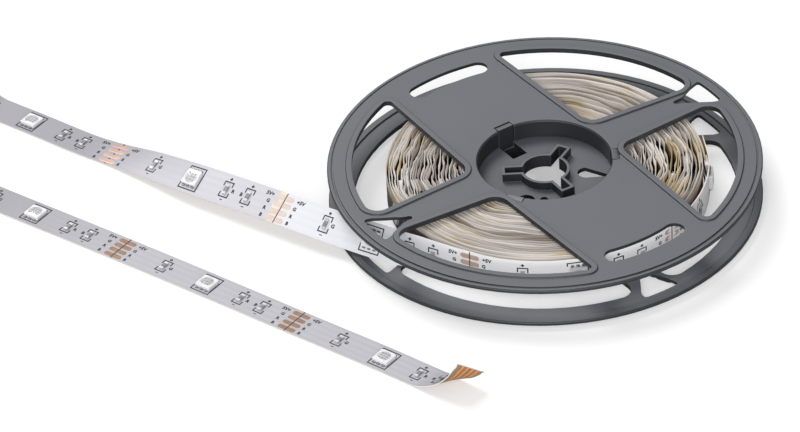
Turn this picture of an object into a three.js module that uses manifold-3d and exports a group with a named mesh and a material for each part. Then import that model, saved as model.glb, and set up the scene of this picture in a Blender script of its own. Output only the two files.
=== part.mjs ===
// A reel of LED strip light: a slim two-part plastic reel, the strip wound on it as one roll,
// and the free stretch of strip that leaves the reel and lies in front of it.
// Millimetres, +Z up. The origin is on the reel's axis, at the height of the surface it lies on.
import * as THREE from "three";
import * as BufferGeometryUtils from "three/addons/utils/BufferGeometryUtils.js";
import Module from "manifold-3d";

const wasm = await Module();
wasm.setup();

const DEG = Math.PI / 180;
const GAP = 0.3;
const EMBED = 0.4;
const weldDistance = 1e-4;

// Steps that curves are drawn in
const rimSegments = 96;
const windowCurve = 8;
const slotCurve = 10;
const boreCurve = 6;
const holeCurve = 3;
const cupSegments = 16;
const stepsPerStation = 1.6;
const lengthStepsPerStation = 40;

// Reel
const reelRadius = 62.5;
const flangeThickness = 1.1;
const beadHeight = 0.5;
const beadWidth = 1.8;
const beadChamfer = 0.25;
const rimBand = 2.5;
const rimThickening = 0.4;
const rimRound = 0.3;
const lipWidth = 1.1;
const lipDrop = 0.2;
const grooveWidth = 0.7;
const grooveDepth = 0.5;
const grooveDraft = 0.1;

// Strip
const stripWidth = 10;
const stripThickness = 0.4;
const ledPitch = 62.5;
const ledSize = 5;
const ledHeight = 1.5;
const ledCupRadius = 2;
const ledCupDepth = 0.4;
const ledCupNarrowing = 0.85;
const resistorLength = 1.6;
const resistorWidth = 3.2;
const resistorHeight = 0.6;
const ledLift = 0.8;
const resistorLift = 0.5;
const cutLineAt = ledPitch / 2;
const greenResistorAt = 15.55;
const blueResistorAt = ledPitch - 19.7;
const redResistorAt = ledPitch - 12.1;

// Hub
const drumWall = 1.3;
const drumRadius = 20.6;
const floorThickness = 1.35;
const floorHeight = 5.6;
const hubEdgeRound = 0.4;
const boreRadius = 6.4;
const keywayWidth = 2.7;
const keywayReach = 11.5;
const keywayAngles = [60, 180, 300];
const collarWall = 0.8;
const collarHeight = 2.65;
const pinHoleRadius = 1.2;
const pinHoleAt = 11.5;
const pinHoleAngle = 266;

// Snap tongues: one at each floor slot, by its direction and its slot's inner end
const tongueWidth = 5;
const tongueThickness = 1;
const tongueInset = 0.1;
const barbReach = 0.9;
const barbLedge = 0.4;
const barbTipHeight = 0.15;
const barbShoulder = 0.1;
const tongueRise = 0.1;
const floorSlots = [
  { angle: 2.5, inner: 9.4, round: true },
  { angle: 122.5, inner: 12.3, round: false },
  { angle: 242.5, inner: 10.3, round: true },
];

// Openings in the flanges
const wideSpoke = { half: drumRadius, taper: 1.5, corner: 1.6 };
const narrowSpoke = { half: 8.2, taper: 3.2, corner: 4 };
const wideAngles = [122.3, 302.3];
const narrowAngles = [30.5, 210.5];
const lowerSpokeAngles = [30.5, 120.5, 210.5, 300.5];
const windowToRim = 7.1;
const windowRadius = reelRadius - windowToRim;
const upperApexRound = 4.3;
const hubToLowerWindow = 0.64;
const slotToRim = 8.9;
const slotWidth = 5.9;
const slotHalfTurn = 15;
const slotOffset = -0.8;

// Three-cornered hole of a narrow spoke. Each curve has its middle and its end, as the depth
// in from the hole's outer arc and the place across as a share of the spoke's half width.
const cornerHoleToRim = 4.1;
const cornerHoleArc = [-0.512, 0.662];
const cornerHoleCurves = [
  [[0.3, 0.793], [1.3, 0.768]],
  [[5.8, 0.61], [8.3, 0.329]],
  [[9.6, 0.28], [11.3, 0.293]],
  [[12.5, 0.268], [12.5, 0.171]],
  [[12.4, 0.061], [11.2, 0.049]],
  [[9.5, -0.012], [8.6, -0.146]],
  [[6.2, -0.293], [2.8, -0.561]],
  [[0.5, -0.683], [0.16, -0.512]],
];

// Rolled strip
const rollRadius = 46.4;
const looseTurnClearance = 0.7;
const looseTurnRadius = rollRadius + looseTurnClearance;
const looseTurnStart = 12;
const looseTurnEnd = -125;
const looseTurnStep = 17.125;
const firstLedBefore = 5.6;

// Heights, from the surface up
const lowerFace = beadHeight;
const lowerInner = lowerFace + flangeThickness;
const rollBottom = lowerInner + GAP;
const rollTop = rollBottom + stripWidth;
const upperInner = rollTop + GAP;
const upperFace = upperInner + flangeThickness;
const floorTop = lowerFace + floorHeight + floorThickness;
const drumInner = drumRadius - drumWall;

// Materials
const reelPlastic = new THREE.MeshStandardMaterial({ color: 0x62656b, roughness: 0.5, metalness: 0 });
const woundEdge = new THREE.MeshStandardMaterial({ color: 0xcfc6bb, roughness: 0.7, metalness: 0 });
const stripFace = new THREE.MeshStandardMaterial({ color: 0xd9d8e0, roughness: 0.45, metalness: 0 });
const ledWhite = new THREE.MeshStandardMaterial({ color: 0xf1f0f2, roughness: 0.35, metalness: 0 });
const resistorGrey = new THREE.MeshStandardMaterial({ color: 0x55555c, roughness: 0.4, metalness: 0.1 });

const group = new THREE.Group();

function addMesh(name, geometry, material) {
  const mesh = new THREE.Mesh(geometry, material);
  mesh.name = name;
  group.add(mesh);
  return mesh;
}

// A closed geometry as a solid that can be joined and cut
function solidOf(geometry) {
  const bare = geometry.clone();
  bare.deleteAttribute("normal");
  bare.deleteAttribute("uv");
  const merged = BufferGeometryUtils.mergeVertices(bare, weldDistance);
  return new wasm.Manifold(new wasm.Mesh({
    numProp: 3,
    vertProperties: new Float32Array(merged.attributes.position.array),
    triVerts: new Uint32Array(merged.index.array),
  }));
}

// A solid back as a geometry
function geometryOf(solid) {
  const mesh = solid.getMesh();
  const geometry = new THREE.BufferGeometry();
  const positions = new Float32Array(mesh.numVert * 3);
  for (let i = 0; i < mesh.numVert; i += 1) {
    for (let k = 0; k < 3; k += 1) {
      positions[3 * i + k] = mesh.vertProperties[mesh.numProp * i + k];
    }
  }
  geometry.setAttribute("position", new THREE.BufferAttribute(positions, 3));
  geometry.setIndex(Array.from(mesh.triVerts));
  geometry.computeVertexNormals();
  return geometry;
}

// A body turned from [radius, height] points about the Z axis
function turned(points, segments) {
  const profile = points.map(([r, z]) => new THREE.Vector2(r, z));
  const geometry = new THREE.LatheGeometry(profile, segments);
  geometry.rotateX(Math.PI / 2);
  return geometry;
}

// A prism of an outline between two heights
function prism(shape, bottom, top, curveSegments = windowCurve) {
  const options = { depth: top - bottom, bevelEnabled: false, curveSegments };
  const geometry = new THREE.ExtrudeGeometry(shape, options);
  geometry.translate(0, 0, bottom);
  return solidOf(geometry);
}

function direction(degrees) {
  return new THREE.Vector2(Math.cos(degrees * DEG), Math.sin(degrees * DEG));
}

// Centre of the arc that rounds the corner between a spoke's edge and the outer arc
function outerCorner(normal, distance, outward, radius, corner) {
  const across = distance + corner;
  const along = Math.sqrt((radius - corner) ** 2 - across ** 2);
  return normal.clone().multiplyScalar(across).addScaledVector(outward, along);
}

// Outline of the opening between two spokes, grown outwards by a given amount. The first spoke
// is the one clockwise of the opening. All arcs keep their centres as the outline grows.
function windowOutline(opening, grow) {
  const { firstAngle, first, lastAngle, last, apexRound } = opening;
  const n1 = direction(firstAngle + 90 - first.taper);
  const n2 = direction(lastAngle - 90 + last.taper);
  const out1 = new THREE.Vector2(n1.y, -n1.x);
  const out2 = new THREE.Vector2(-n2.y, n2.x);
  const c1 = outerCorner(n1, first.half, out1, windowRadius, first.corner);
  const c2 = outerCorner(n2, last.half, out2, windowRadius, last.corner);
  const d1 = first.half + apexRound;
  const d2 = last.half + apexRound;
  const det = n1.x * n2.y - n1.y * n2.x;
  const apex = new THREE.Vector2((d1 * n2.y - d2 * n1.y) / det, (n1.x * d2 - n2.x * d1) / det);
  const a1 = Math.atan2(-n1.y, -n1.x);
  const a2 = Math.atan2(-n2.y, -n2.x);
  const shape = new THREE.Shape();
  shape.absarc(apex.x, apex.y, apexRound + grow, a2, a1, false);
  shape.absarc(c1.x, c1.y, first.corner + grow, a1, c1.angle(), false);
  shape.absarc(0, 0, windowRadius + grow, c1.angle(), c2.angle(), false);
  shape.absarc(c2.x, c2.y, last.corner + grow, c2.angle(), a2, false);
  return shape;
}

// The four openings of the upper flange, between a narrow and a wide spoke
const upperSpokes = [
  [narrowAngles[0], narrowSpoke],
  [wideAngles[0], wideSpoke],
  [narrowAngles[1], narrowSpoke],
  [wideAngles[1], wideSpoke],
];

function openingsBetween(spokes, apexRound) {
  return spokes.map(([firstAngle, first], i) => {
    const [lastAngle, last] = spokes[(i + 1) % spokes.length];
    return { firstAngle, first, lastAngle, last, apexRound };
  });
}
const upperWindows = openingsBetween(upperSpokes, upperApexRound);

// The four openings of the lower flange, all between narrow spokes. The round of their inner
// corner is the one that leaves them just clear of the drum.
const lowerSpread = 1 / Math.cos((180 / lowerSpokeAngles.length - narrowSpoke.taper) * DEG);
const lowerApexInner = drumRadius + hubToLowerWindow;
const lowerApexRound = (lowerApexInner - narrowSpoke.half * lowerSpread) / (lowerSpread - 1);
const lowerWindows = openingsBetween(lowerSpokeAngles.map((angle) => [angle, narrowSpoke]), lowerApexRound);

// Curved slot with round ends in a wide spoke
function spokeSlotOutline(angle) {
  const outer = reelRadius - slotToRim;
  const inner = outer - slotWidth;
  const half = slotWidth / 2;
  const middle = inner + half;
  const turn = slotHalfTurn * DEG - Math.asin(half / middle);
  const centre = (angle + slotOffset) * DEG;
  const start = centre - turn;
  const end = centre + turn;
  const shape = new THREE.Shape();
  shape.absarc(0, 0, outer, start, end, false);
  shape.absarc(middle * Math.cos(end), middle * Math.sin(end), half, end, end + Math.PI, false);
  shape.absarc(0, 0, inner, end, start, true);
  const back = start + Math.PI;
  shape.absarc(middle * Math.cos(start), middle * Math.sin(start), half, back, back + Math.PI, false);
  return shape;
}

// Three-cornered hole with hollow sides, drawn along +X, at the outer end of a narrow spoke
function cornerHole(angle) {
  const outer = reelRadius - cornerHoleToRim;
  const place = ([depth, share]) => [outer - depth, share * narrowSpoke.half];
  const [low, high] = cornerHoleArc.map((share) => Math.asin(share * narrowSpoke.half / outer));
  const shape = new THREE.Shape();
  shape.absarc(0, 0, outer, low, high, false);
  for (const [middle, end] of cornerHoleCurves) {
    shape.quadraticCurveTo(...place(middle), ...place(end));
  }
  return { shape, angle };
}

// A flange with its raised window borders and its openings. Side +1 is the upper flange.
function pierce(body, windows, holes, slots, face, side) {
  let solid = body;
  const borderTop = face + side * beadHeight;
  const borderRoot = face - side * EMBED;
  const low = Math.min(borderTop, borderRoot);
  const high = Math.max(borderTop, borderRoot);
  for (const opening of windows) {
    const border = new THREE.ExtrudeGeometry(windowOutline(opening, beadWidth), {
      depth: high - low - 2 * beadChamfer,
      bevelThickness: beadChamfer,
      bevelSize: beadChamfer,
      bevelOffset: -beadChamfer,
      bevelSegments: 1,
      curveSegments: windowCurve,
    });
    border.translate(0, 0, low + beadChamfer);
    solid = solid.add(solidOf(border));
  }
  const through = [low - beadHeight, high + beadHeight + flangeThickness];
  if (side > 0) {
    through[0] -= flangeThickness;
  }
  for (const opening of windows) {
    solid = solid.subtract(prism(windowOutline(opening, 0), ...through));
  }
  for (const { shape, angle } of holes) {
    solid = solid.subtract(prism(shape, ...through, holeCurve).rotate(0, 0, angle));
  }
  for (const shape of slots) {
    solid = solid.subtract(prism(shape, ...through, slotCurve));
  }
  return solid;
}

// Flange section: [radius, height above the inner face], from the hub side out and back
function flangeSection(inner, side) {
  const face = inner + side * flangeThickness;
  const thick = inner - side * rimThickening;
  const lip = face - side * lipDrop;
  const groove = face - side * grooveDepth;
  const lipInner = reelRadius - lipWidth;
  return [
    [reelRadius - rimBand, inner],
    [reelRadius - rimBand + rimThickening, thick],
    [reelRadius - rimRound, thick],
    [reelRadius, thick + side * rimRound],
    [reelRadius, lip - side * rimRound],
    [reelRadius - rimRound, lip],
    [lipInner, lip],
    [lipInner - grooveDraft, groove],
    [lipInner - grooveWidth + grooveDraft, groove],
    [lipInner - grooveWidth, face],
  ];
}

// Upper half: flange and the short tube that stands down around the hub
const tubeBottom = floorTop + GAP;
const upperProfile = [
  [drumInner, tubeBottom],
  [drumRadius, tubeBottom],
  [drumRadius, upperInner],
  ...flangeSection(upperInner, 1),
  [drumInner + hubEdgeRound, upperFace],
  [drumInner, upperFace - hubEdgeRound],
  [drumInner, tubeBottom],
];

// Lower half: flange, drum wall and the hub's floor, open from below
const lowerProfile = [
  [0, floorTop - floorThickness],
  [drumInner, floorTop - floorThickness],
  [drumInner, lowerFace + hubEdgeRound],
  [drumInner + hubEdgeRound, lowerFace],
  ...flangeSection(lowerInner, -1).reverse(),
  [drumRadius, lowerInner],
  [drumRadius, floorTop],
  [0, floorTop],
];

// A box given by its ends along X, its width and its heights, turned about the axis
function radialBox(from, to, width, bottom, top, angle) {
  const box = new THREE.BoxGeometry(to - from, width, top - bottom);
  box.translate((from + to) / 2, 0, (bottom + top) / 2);
  return solidOf(box).rotate(0, 0, angle);
}

// Snap tongue: rises from the drum wall, with a barb outwards at its top
const tongueInner = drumInner + tongueInset;
const tongueOuter = tongueInner + tongueThickness;
const ledgeTop = upperInner + barbLedge;
const tongueTop = upperFace + tongueRise;
function snapTongue(angle) {
  const barbTip = tongueOuter + barbReach;
  const shape = new THREE.Shape();
  shape.moveTo(tongueInner, floorTop - floorThickness);
  shape.lineTo(tongueOuter, floorTop - floorThickness);
  shape.lineTo(tongueOuter, ledgeTop + GAP);
  shape.lineTo(barbTip, ledgeTop + GAP);
  shape.lineTo(barbTip, ledgeTop + GAP + barbTipHeight);
  shape.lineTo(tongueOuter - barbShoulder, tongueTop);
  shape.lineTo(tongueInner, tongueTop);
  const geometry = new THREE.ExtrudeGeometry(shape, { depth: tongueWidth, bevelEnabled: false });
  geometry.translate(0, 0, -tongueWidth / 2);
  geometry.rotateX(Math.PI / 2);
  return solidOf(geometry).rotate(0, 0, angle);
}

function buildUpperHalf() {
  const holes = narrowAngles.map(cornerHole);
  const slots = wideAngles.map(spokeSlotOutline);
  let solid = pierce(solidOf(turned(upperProfile, rimSegments)), upperWindows, holes, slots, upperFace, 1);
  const notchWidth = tongueWidth + 2 * GAP;
  for (const { angle } of floorSlots) {
    const deep = tubeBottom - GAP;
    const above = upperFace + GAP;
    solid = solid.subtract(radialBox(drumInner - GAP, tongueOuter + GAP, notchWidth, deep, above, angle));
    const ledgeEnd = tongueOuter + barbReach + GAP;
    solid = solid.subtract(radialBox(drumInner - GAP, ledgeEnd, notchWidth, ledgeTop, above, angle));
  }
  return geometryOf(solid);
}

// Round bore with three keyways, grown by a given amount
function keyedBore(grow) {
  const radius = boreRadius + grow;
  const half = keywayWidth / 2 + grow;
  const reach = keywayReach + grow;
  const meet = Math.asin(half / radius);
  const shape = new THREE.Shape();
  keywayAngles.forEach((degrees, i) => {
    const angle = degrees * DEG;
    const next = keywayAngles[(i + 1) % keywayAngles.length] * DEG;
    const corner = (along, across) => [
      along * Math.cos(angle) - across * Math.sin(angle),
      along * Math.sin(angle) + across * Math.cos(angle),
    ];
    const first = corner(reach, -half);
    if (i === 0) {
      shape.moveTo(...first);
    } else {
      shape.lineTo(...first);
    }
    shape.lineTo(...corner(reach, half));
    shape.absarc(0, 0, radius, angle + meet, next - meet, false);
  });
  shape.closePath();
  return shape;
}

// Slot in the hub's floor, from its inner end out to the drum wall, drawn along +X
function floorSlotOutline(inner, round) {
  const half = tongueWidth / 2;
  const shape = new THREE.Shape();
  shape.moveTo(tongueInner, half);
  if (round) {
    shape.absarc(inner + half, 0, half, Math.PI / 2, 1.5 * Math.PI, false);
  } else {
    shape.lineTo(inner, half);
    shape.lineTo(inner, -half);
  }
  shape.lineTo(tongueInner, -half);
  return shape;
}

function buildLowerHalf() {
  const holes = lowerSpokeAngles.map(cornerHole);
  let solid = pierce(solidOf(turned(lowerProfile, rimSegments)), lowerWindows, holes, [], lowerFace, -1);
  const belowFloor = lowerFace + floorHeight - EMBED;
  solid = solid.add(prism(keyedBore(collarWall), floorTop - EMBED, floorTop + collarHeight, boreCurve));
  solid = solid.subtract(prism(keyedBore(0), belowFloor, floorTop + collarHeight + EMBED, boreCurve));
  for (const { angle, inner, round } of floorSlots) {
    const slot = prism(floorSlotOutline(inner, round), belowFloor, floorTop + EMBED);
    solid = solid.subtract(slot.rotate(0, 0, angle));
  }
  const pinHole = new THREE.Shape();
  const pinCentre = direction(pinHoleAngle).multiplyScalar(pinHoleAt);
  pinHole.absarc(pinCentre.x, pinCentre.y, pinHoleRadius, 0, 2 * Math.PI, false);
  solid = solid.subtract(prism(pinHole, belowFloor, floorTop + EMBED, boreCurve));
  for (const { angle } of floorSlots) {
    solid = solid.add(snapTongue(angle));
  }
  return geometryOf(solid);
}

addMesh("upper_flange_half", buildUpperHalf(), reelPlastic);
addMesh("lower_flange_half", buildLowerHalf(), reelPlastic);

// Wound strip: all its turns as one ring
const rollInner = drumRadius + GAP;
const rollProfile = [
  [rollInner, rollBottom],
  [rollRadius, rollBottom],
  [rollRadius, rollTop],
  [rollInner, rollTop],
  [rollInner, rollBottom],
];
addMesh("wound_strip_roll", turned(rollProfile, rimSegments), woundEdge);

// A route for a flat ribbon. Each station is [x, y, z, bank]: bank 0 lies flat with its lamps
// up, and bank 90 stands on edge with its lamps to the left of the way it runs.
class RibbonRoute extends THREE.CatmullRomCurve3 {
  constructor(stations) {
    super(stations.map(([x, y, z]) => new THREE.Vector3(x, y, z)), false, "centripetal");
    this.banks = stations.map((station) => station[3]);
    this.arcLengthDivisions = lengthStepsPerStation * stations.length;
  }

  getSpacedPoints(divisions) {
    return this.getPoints(divisions);
  }

  frameAtStation(t) {
    const tangent = this.getTangent(t);
    const place = t * (this.banks.length - 1);
    const i = Math.min(Math.floor(place), this.banks.length - 2);
    const bank = THREE.MathUtils.lerp(this.banks[i], this.banks[i + 1], place - i) * DEG;
    const left = new THREE.Vector3(-tangent.y, tangent.x, 0).normalize();
    const up = tangent.clone().cross(left);
    const across = left.clone().multiplyScalar(Math.cos(bank)).addScaledVector(up, -Math.sin(bank));
    return { point: this.getPoint(t), tangent, across, face: tangent.clone().cross(across) };
  }

  frameAtLength(length) {
    return this.frameAtStation(this.getUtoTmapping(0, length));
  }

  computeFrenetFrames(divisions) {
    const frames = [];
    for (let i = 0; i <= divisions; i += 1) {
      frames.push(this.frameAtStation(i / divisions));
    }
    return {
      tangents: frames.map((frame) => frame.tangent),
      normals: frames.map((frame) => frame.across),
      binormals: frames.map((frame) => frame.face),
    };
  }
}

function ribbon(route) {
  const steps = Math.round(stepsPerStation * (route.banks.length - 1));
  const section = new THREE.Shape();
  const w = stripWidth / 2;
  const t = stripThickness / 2;
  section.moveTo(-w, -t);
  section.lineTo(w, -t);
  section.lineTo(w, t);
  section.lineTo(-w, t);
  section.closePath();
  return new THREE.ExtrudeGeometry(section, { steps, extrudePath: route, bevelEnabled: false });
}

// Loose outer turn, upright round the roll, worked out by its radius
const uprightHeight = rollBottom + stripWidth / 2;
const looseTurn = [];
for (let angle = looseTurnStart; angle >= looseTurnEnd; angle -= looseTurnStep) {
  const at = direction(angle).multiplyScalar(looseTurnRadius);
  looseTurn.push([at.x, at.y, uprightHeight, 90]);
}

// A station by its place, the height of the strip's lower edge, and its bank
function station([x, y, lowEdge, bank]) {
  const rise = stripWidth / 2 * Math.sin(bank * DEG) + stripThickness / 2 * Math.cos(bank * DEG);
  return [x, y, lowEdge + rise, bank];
}

// Leaving the roll: direction, distance out from the loose turn, lower edge and bank
const leavingStations = [
  [-135, 1.83, 1.92, 82],
  [-144.92, 5.45, 2.15, 66],
  [-153.84, 9.83, 2.64, 50],
  [-160.65, 14.48, 3.26, 38],
  [-165.69, 19.26, 3.54, 34],
];

// Beyond the rim: down to the surface, and on edge into the turn out of sight
const outerStations = [
  [-76.2, -7.8, 3.7, 29],
  [-91.8, 3.4, 3.28, 28],
  [-101.3, 10.4, 2.75, 27],
  [-113.5, 21.6, 1.41, 15],
  [-124.7, 31, 0.2, 4],
  [-132.9, 36.9, 0.2, 0],
  [-148.3, 49.1, 0.1, 0],
  [-158.6, 57.05, 0.1, 0],
  [-161, 58.9, 0.15, 0],
  [-168.2, 64.5, 0.41, 15],
  [-174.8, 69.6, 0.13, 40],
  [-181, 74.3, 0.18, 65],
  [-187, 78.9, 0.15, 90],
  [-195.4, 82.4, 0.15, 90],
  [-204.4, 81.3, 0.15, 90],
  [-211.5, 75.8, 0.15, 90],
];

const tailStations = [
  ...looseTurn,
  ...leavingStations.map(([angle, out, lowEdge, bank]) => {
    const at = direction(angle).multiplyScalar(looseTurnRadius + out);
    return station([at.x, at.y, lowEdge, bank]);
  }),
  ...outerStations.map(station),
];

// The end length: out of the turn, flat along the surface, and up in a slanting curl
const endStations = [
  [-211.7, 75.5, 0.15, 90],
  [-215.1, 67.3, 0.15, 90],
  [-214, 58.3, 0.15, 90],
  [-208.4, 51.1, 0.15, 90],
  [-202.2, 46.2, 0.18, 65],
  [-196, 41.4, 0.13, 40],
  [-189.4, 36.3, 0.41, 15],
  [-182.2, 30.7, 0.15, 0],
  [-179.8, 28.85, 0.1, 0],
  [-157.5, 11.6, 0.1, 0],
  [-122.7, -14.9, 0.1, 0],
  [-98.3, -33.9, 0.1, 0],
  [-73.4, -53.6, 0.1, 0],
  [-48.4, -73.2, 0.1, 0],
  [-39.4, -80.55, 0.1, 0],
  [-37, -82.5, 0.08, 2.5],
  [-34, -84.8, 0.1, 11],
  [-30.9, -86.8, 0.28, 24],
  [-28.1, -88.2, 1.13, 40],
  [-26.1, -88.8, 2.4, 57],
  [-25, -88.9, 3.32, 67],
].map(station);

const tailRoute = new RibbonRoute(tailStations);
const endRoute = new RibbonRoute(endStations);
addMesh("strip_tail", ribbon(tailRoute), stripFace);
addMesh("strip_end", ribbon(endRoute), stripFace);

// LED package: a square body with a shallow round cup
function ledPackage() {
  const body = new THREE.BoxGeometry(ledSize, ledSize, ledHeight);
  body.translate(0, 0, ledHeight / 2);
  const cupFoot = ledCupRadius * ledCupNarrowing;
  const cup = new THREE.CylinderGeometry(ledCupRadius, cupFoot, 2 * ledCupDepth, cupSegments);
  cup.rotateX(Math.PI / 2);
  cup.translate(0, 0, ledHeight);
  return geometryOf(solidOf(body).subtract(solidOf(cup)));
}

function chipResistor() {
  const chip = new THREE.BoxGeometry(resistorLength, resistorWidth, resistorHeight);
  chip.translate(0, 0, resistorHeight / 2);
  return chip;
}

// A component standing on the strip's lamp side, at a length along its route
function mountOnStrip(mesh, route, length, lift) {
  const { point, tangent, across, face } = route.frameAtLength(length);
  mesh.quaternion.setFromRotationMatrix(new THREE.Matrix4().makeBasis(tangent, across, face));
  mesh.position.copy(point).addScaledVector(face, stripThickness / 2 + lift);
}

// Lamps and resistors along one length of strip. Order runs as on the board: from each lamp
// the given way along the route, first the green, then the blue and red resistors.
function populate(prefix, route, firstLed, way, colours) {
  const total = route.getLength();
  const reach = ledSize;
  let leds = 0;
  let chips = 0;
  const before = Math.ceil(firstLed / ledPitch) + 1;
  for (let base = firstLed - before * ledPitch; base < total + ledPitch; base += ledPitch) {
    if (base > reach && base < total - reach) {
      leds += 1;
      mountOnStrip(addMesh(`${prefix}_led_${leds}`, ledPackage(), ledWhite), route, base, ledLift);
    }
    for (const offset of colours) {
      const at = base + way * offset;
      if (at > reach && at < total - reach) {
        chips += 1;
        const chip = addMesh(`${prefix}_resistor_${chips}`, chipResistor(), resistorGrey);
        mountOnStrip(chip, route, at, resistorLift);
      }
    }
  }
}

const firstTailLed = (looseTurnStart + firstLedBefore) * DEG * looseTurnRadius;
const chipPlaces = [greenResistorAt, blueResistorAt, redResistorAt];
const endLed = endRoute.getLength() - cutLineAt - ledPitch * 3;
populate("tail", tailRoute, firstTailLed, 1, chipPlaces);
populate("end", endRoute, endLed, -1, chipPlaces);

export default group;
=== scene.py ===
import math

import bmesh
import bpy
from mathutils import Matrix, Vector


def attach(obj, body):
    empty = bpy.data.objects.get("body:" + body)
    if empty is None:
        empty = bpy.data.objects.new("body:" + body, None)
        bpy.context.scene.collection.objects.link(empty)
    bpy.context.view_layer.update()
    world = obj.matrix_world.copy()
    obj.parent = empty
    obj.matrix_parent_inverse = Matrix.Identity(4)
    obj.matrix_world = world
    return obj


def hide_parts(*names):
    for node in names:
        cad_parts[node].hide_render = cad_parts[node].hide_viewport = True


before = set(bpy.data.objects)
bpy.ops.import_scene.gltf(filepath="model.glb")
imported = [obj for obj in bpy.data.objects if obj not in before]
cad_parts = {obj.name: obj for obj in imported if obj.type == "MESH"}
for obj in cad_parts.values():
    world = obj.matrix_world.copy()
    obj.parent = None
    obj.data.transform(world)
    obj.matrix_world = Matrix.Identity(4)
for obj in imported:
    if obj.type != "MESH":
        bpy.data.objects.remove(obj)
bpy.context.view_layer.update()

MM = 0.001
scene = bpy.context.scene
for leftover in ("Cube", "Light", "Camera"):
    if leftover in bpy.data.objects:
        bpy.data.objects.remove(bpy.data.objects[leftover])


# Camera
# A long lens on a high stand, looking down over the near rim of the reel. It leans a little
# to one side, as the photograph does.
camera_elevation = math.radians(36.19)
camera_roll = math.radians(-2.94)
camera_distance = 1.5452
camera_target = Vector((-42.232, -6.487, 0.5)) * MM
camera_data = bpy.data.cameras.new("camera")
camera_data.sensor_width = 36
camera_data.lens = 242.15
camera_data.clip_end = 20


# An object at the origin, in the scene
def put(name, data):
    made = bpy.data.objects.new(name, data)
    scene.collection.objects.link(made)
    return made


camera = put("camera", camera_data)
back = Vector((0, -math.cos(camera_elevation), math.sin(camera_elevation)))
turn = Matrix.Rotation(math.pi / 2 - camera_elevation, 4, "X") @ Matrix.Rotation(camera_roll, 4, "Z")
camera.matrix_world = Matrix.Translation(camera_target + back * camera_distance) @ turn
scene.camera = camera


# The free strip: its route
# A flexible board 10 mm wide. It leaves the outside of the roll, runs along its front on edge,
# passes out over the lower rim, comes down to the table, and turns back on edge out of sight.
# Each station is x, y, z in millimetres and the bank in degrees: 0 is flat, 90 is on edge.
loose_turn_radius = 47.1
loose_turn_start = 12
loose_turn_step = 17.125
loose_turn_count = 9
upright_height = 6.9
board_width = 10
board_thickness = 0.3

tail_stations = []
for i in range(loose_turn_count):
    angle = math.radians(loose_turn_start - loose_turn_step * i)
    x = loose_turn_radius * math.cos(angle)
    y = loose_turn_radius * math.sin(angle)
    tail_stations.append((x, y, upright_height, 90))
tail_stations += [
    (-34.6, -34.6, 6.9, 82),
    (-43.0, -30.2, 6.8, 66),
    (-51.1, -25.1, 6.6, 50),
    (-58.1, -20.4, 6.5, 38),
    (-64.3, -16.4, 6.5, 34),
    (-76.2, -7.8, 6.3, 29),
    (-91.8, 3.4, 5.8, 28),
    (-101.3, 10.4, 5.2, 27),
    (-113.5, 21.6, 2.9, 15),
    (-124.7, 31.0, 0.75, 4),
    (-132.9, 36.9, 0.4, 0),
    (-148.3, 49.1, 0.3, 0),
    (-158.6, 57.05, 0.3, 0),
    (-161.0, 58.9, 0.35, 0),
    (-168.2, 64.5, 1.9, 15),
    (-174.8, 69.6, 3.5, 40),
    (-181.0, 74.3, 4.8, 65),
    (-187.0, 78.9, 5.15, 90),
    (-195.4, 82.4, 5.15, 90),
    (-204.4, 81.3, 5.15, 90),
    (-211.5, 75.8, 5.15, 90),
]
end_stations = [
    (-211.7, 75.5, 5.15, 90),
    (-215.1, 67.3, 5.15, 90),
    (-214.0, 58.3, 5.15, 90),
    (-208.4, 51.1, 5.15, 90),
    (-202.2, 46.2, 4.8, 65),
    (-196.0, 41.4, 3.5, 40),
    (-189.4, 36.3, 1.9, 15),
    (-182.2, 30.7, 0.35, 0),
    (-179.8, 28.85, 0.3, 0),
    (-157.5, 11.6, 0.3, 0),
    (-122.7, -14.9, 0.3, 0),
    (-98.3, -33.9, 0.3, 0),
    (-73.4, -53.6, 0.3, 0),
    (-48.4, -73.2, 0.3, 0),
    (-39.4, -80.55, 0.3, 0),
    (-37.0, -82.5, 0.5, 2.5),
    (-34.0, -84.8, 1.25, 11),
    (-30.9, -86.8, 2.5, 24),
    (-28.1, -88.2, 4.5, 40),
    (-26.1, -88.8, 6.7, 57),
    (-25.0, -88.9, 8.0, 67),
]


# Point of the smooth curve through four stations, at t from the second to the third
def between(stations, t):
    points = [Vector(station[:3]) for station in stations]
    times = [0.0]
    for a, b in zip(points, points[1:]):
        times.append(times[-1] + max((b - a).length, 1e-6) ** 0.5)
    at = times[1] + t * (times[2] - times[1])
    while len(points) > 2:
        level = 5 - len(points)
        mixed = []
        for i in range(len(points) - 1):
            first = times[i]
            last = times[i + level]
            mixed.append(points[i].lerp(points[i + 1], (at - first) / (last - first)))
        points = mixed
    return points[0].lerp(points[1], t)


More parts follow.
